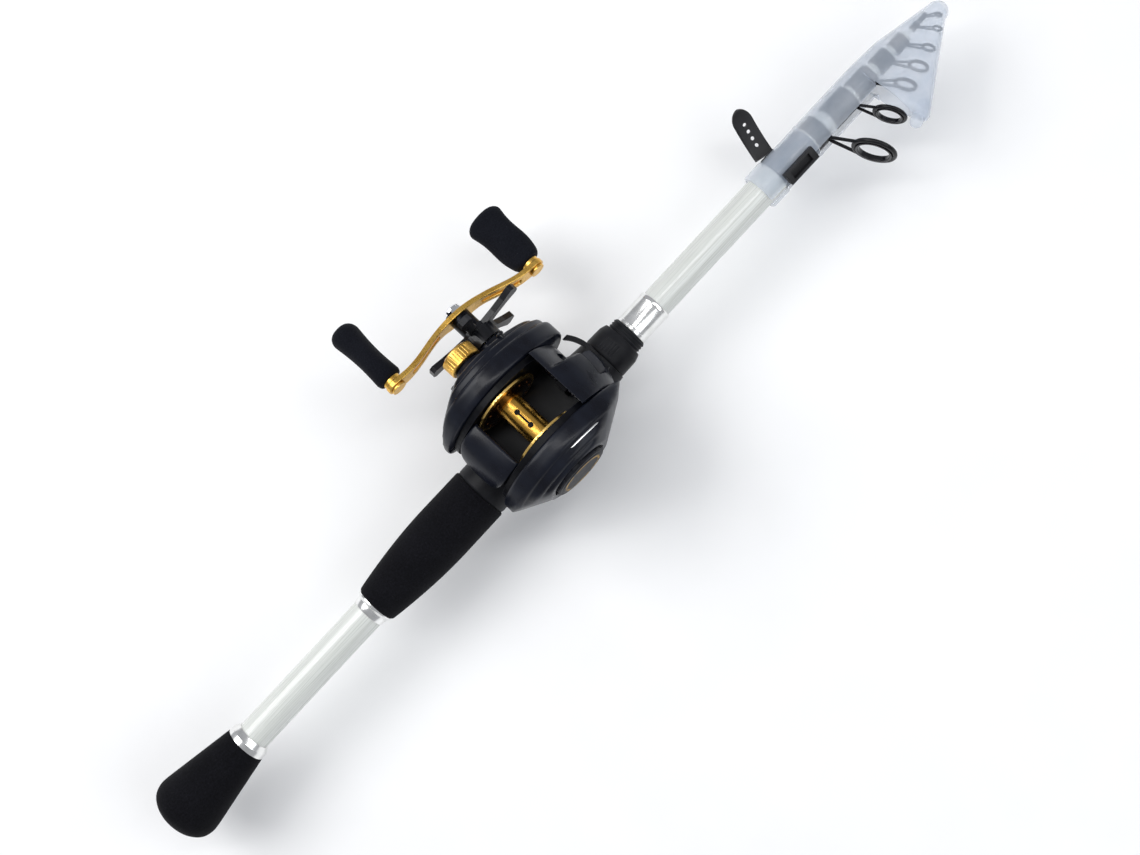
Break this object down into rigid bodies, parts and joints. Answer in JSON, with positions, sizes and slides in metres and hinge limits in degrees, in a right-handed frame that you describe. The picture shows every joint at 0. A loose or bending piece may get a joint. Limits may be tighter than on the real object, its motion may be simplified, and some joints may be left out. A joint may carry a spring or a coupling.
{
  "type": "fishing rod and reel",
  "caption": "Closed telescopic casting rod with a low-profile baitcasting reel, foam grips, line guides and a clear tip cover with a strap.",
  "frame": {"origin": "centre of the flat end of the butt cap", "axes": "+X along the rod to its tip, +Z the side the reel stands on, +Y the handle side"},
  "size_m": [0.5285, 0.1285, 0.089],
  "materials": {
    "eva_foam": "matt closed-cell foam with fine pores",
    "knob_foam": "matt foam with a slight sheen",
    "polished_trim": "mirror polished",
    "glass_fibre": "milky fibreglass under clear gloss",
    "seat_plastic": "satin moulded nylon",
    "thread_wrap": "thread wrap under varnish",
    "guide_metal": "black plated",
    "guide_ceramic": "polished dark ceramic",
    "clear_cover": "frosted clear soft plastic",
    "strap_rubber": "satin rubber",
    "reel_frame_metal": "black anodised",
    "reel_shell": "bluish-black semi gloss",
    "black_metal": "black anodised satin",
    "gold_metal": "gold anodised, polished",
    "steel": "ground",
    "chrome_nut": "mirror polished",
    "brass_gear": "machined",
    "nylon_gear": "moulded nylon",
    "black_plastic": "moulded",
    "drag_fibre": "greased fibre"
  },
  "bodies": {
    "rod": {"butt_cap": "eva_foam", "butt_plug": "strap_rubber", "butt_winding_check": "polished_trim", "rod_blank": "glass_fibre", "grip_winding_check": "polished_trim", "rear_grip": "eva_foam", "reel_seat": "seat_plastic", "front_ferrule": "polished_trim", "blank_end_wrap": "thread_wrap", "reel_foot": "reel_frame_metal", "reel_frame": "reel_frame_metal", "handle_side_plate": "reel_shell", "palm_side_plate": "reel_shell", "front_cowling": "reel_shell", "spool_bearings": "steel", "anti_reverse_bearing": "steel", "guide_pillar": "steel", "side_plate_screws": "steel", "clutch_spring": "steel"},
    "hood_body": {"seat_hood": "seat_plastic"},
    "nut_body": {"lock_nut": "seat_plastic"},
    "section_1_body": {"section_1": "glass_fibre", "guide_1_frame": "guide_metal", "guide_1_ring": "guide_ceramic"},
    "section_2_body": {"section_2": "glass_fibre", "guide_2_frame": "guide_metal", "guide_2_ring": "guide_ceramic"},
    "section_3_body": {"section_3": "glass_fibre", "guide_3": "guide_metal"},
    "section_4_body": {"section_4": "glass_fibre", "guide_4": "guide_metal"},
    "section_5_body": {"section_5": "glass_fibre", "guide_5": "guide_metal"},
    "tip_body": {"section_6": "glass_fibre", "guide_6": "guide_metal", "tip_top": "guide_metal"},
    "cover_body": {"tip_cover": "clear_cover", "strap_buckle": "strap_rubber"},
    "strap_body": {"strap_tail": "strap_rubber"},
    "spool_body": {"spool": "gold_metal", "spool_shaft": "steel", "pinion_gear": "brass_gear"},
    "crank_body": {"drive_shaft": "steel", "drive_gear": "brass_gear", "drag_washers": "drag_fibre", "level_wind_gear": "nylon_gear", "crank_arm": "gold_metal", "handle_nut": "chrome_nut", "knob_shafts": "steel"},
    "star_body": {"star_drag": "black_metal"},
    "rear_knob_body": {"rear_knob": "knob_foam"},
    "front_knob_body": {"front_knob": "knob_foam"},
    "tension_body": {"tension_cap": "gold_metal"},
    "brake_body": {"brake_dial": "reel_shell"},
    "worm_body": {"worm_shaft": "steel", "worm_gear": "nylon_gear"},
    "line_guide_body": {"line_guide": "black_plastic"},
    "thumb_body": {"thumb_bar": "reel_shell"},
    "clutch_body": {"clutch_yoke": "steel"}
  },
  "joints": [
    {"name": "hood_slide", "type": "slide", "parent": "rod", "child": "hood_body", "axis": [1, 0, 0], "range_m": [0, 0.005]},
    {"name": "nut_turn", "type": "hinge", "parent": "hood_body", "child": "nut_body", "pos_m": [0.3037, 0, 0], "axis": [1, 0, 0], "range_deg": [0, 1200]},
    {"name": "section_1_slide", "type": "slide", "parent": "rod", "child": "section_1_body", "axis": [1, 0, 0], "range_m": [0, 0.265]},
    {"name": "section_2_slide", "type": "slide", "parent": "section_1_body", "child": "section_2_body", "axis": [1, 0, 0], "range_m": [0, 0.265]},
    {"name": "section_3_slide", "type": "slide", "parent": "section_2_body", "child": "section_3_body", "axis": [1, 0, 0], "range_m": [0, 0.265]},
    {"name": "section_4_slide", "type": "slide", "parent": "section_3_body", "child": "section_4_body", "axis": [1, 0, 0], "range_m": [0, 0.265]},
    {"name": "section_5_slide", "type": "slide", "parent": "section_4_body", "child": "section_5_body", "axis": [1, 0, 0], "range_m": [0, 0.265]},
    {"name": "section_6_slide", "type": "slide", "parent": "section_5_body", "child": "tip_body", "axis": [1, 0, 0], "range_m": [0, 0.265]},
    {"name": "cover_slide", "type": "slide", "parent": "tip_body", "child": "cover_body", "axis": [1, 0, 0], "range_m": [0, 0.13]},
    {"name": "strap_flex", "type": "hinge", "parent": "cover_body", "child": "strap_body", "pos_m": [0.42, 0.0112, -0.0043], "axis": [1, 0, 0], "range_deg": [-25, 30], "stiffness_Nm_per_rad": 0.02},
    {"name": "crank_turn", "type": "hinge", "parent": "rod", "child": "crank_body", "pos_m": [0.2653, 0, 0.022], "axis": [0, 1, 0], "continuous": true},
    {"name": "spool_turn", "type": "hinge", "parent": "rod", "child": "spool_body", "pos_m": [0.252, 0, 0.034], "axis": [0, 1, 0], "continuous": true},
    {"name": "worm_turn", "type": "hinge", "parent": "rod", "child": "worm_body", "pos_m": [0.27689, 0, 0.02511], "axis": [0, 1, 0], "continuous": true},
    {"name": "line_guide_slide", "type": "slide", "parent": "rod", "child": "line_guide_body", "axis": [0, 1, 0], "range_m": [-0.0085, 0.0085]},
    {"name": "star_drag_turn", "type": "hinge", "parent": "crank_body", "child": "star_body", "pos_m": [0.2653, 0, 0.022], "axis": [0, 1, 0], "range_deg": [-180, 180]},
    {"name": "rear_knob_turn", "type": "hinge", "parent": "crank_body", "child": "rear_knob_body", "pos_m": [0.22358, 0.07, 0.03886], "axis": [0, 1, 0], "continuous": true},
    {"name": "front_knob_turn", "type": "hinge", "parent": "crank_body", "child": "front_knob_body", "pos_m": [0.30702, 0.07, 0.00514], "axis": [0, 1, 0], "continuous": true},
    {"name": "tension_cap_turn", "type": "hinge", "parent": "rod", "child": "tension_body", "pos_m": [0.252, 0, 0.034], "axis": [0, 1, 0], "range_deg": [-180, 180]},
    {"name": "brake_dial_turn", "type": "hinge", "parent": "rod", "child": "brake_body", "pos_m": [0.252, 0, 0.034], "axis": [0, 1, 0], "range_deg": [0, 270]},
    {"name": "thumb_bar_press", "type": "slide", "parent": "rod", "child": "thumb_body", "axis": [0, 0, -1], "range_m": [0, 0.003], "stiffness_N_per_m": 500, "deforming": ["clutch_spring"]},
    {"name": "clutch_slide", "type": "slide", "parent": "rod", "child": "clutch_body", "axis": [0, 1, 0], "range_m": [0, 0.0012]}
  ],
  "couplings": [
    {"joint": "nut_turn", "follows": "hood_slide", "rad_per_m": 4188.8},
    {"joint": "spool_turn", "follows": "crank_turn", "ratio": -6.3},
    {"joint": "worm_turn", "follows": "crank_turn", "ratio": -1.6667},
    {"joint": "clutch_slide", "follows": "thumb_bar_press", "ratio": 0.4}
  ]
}
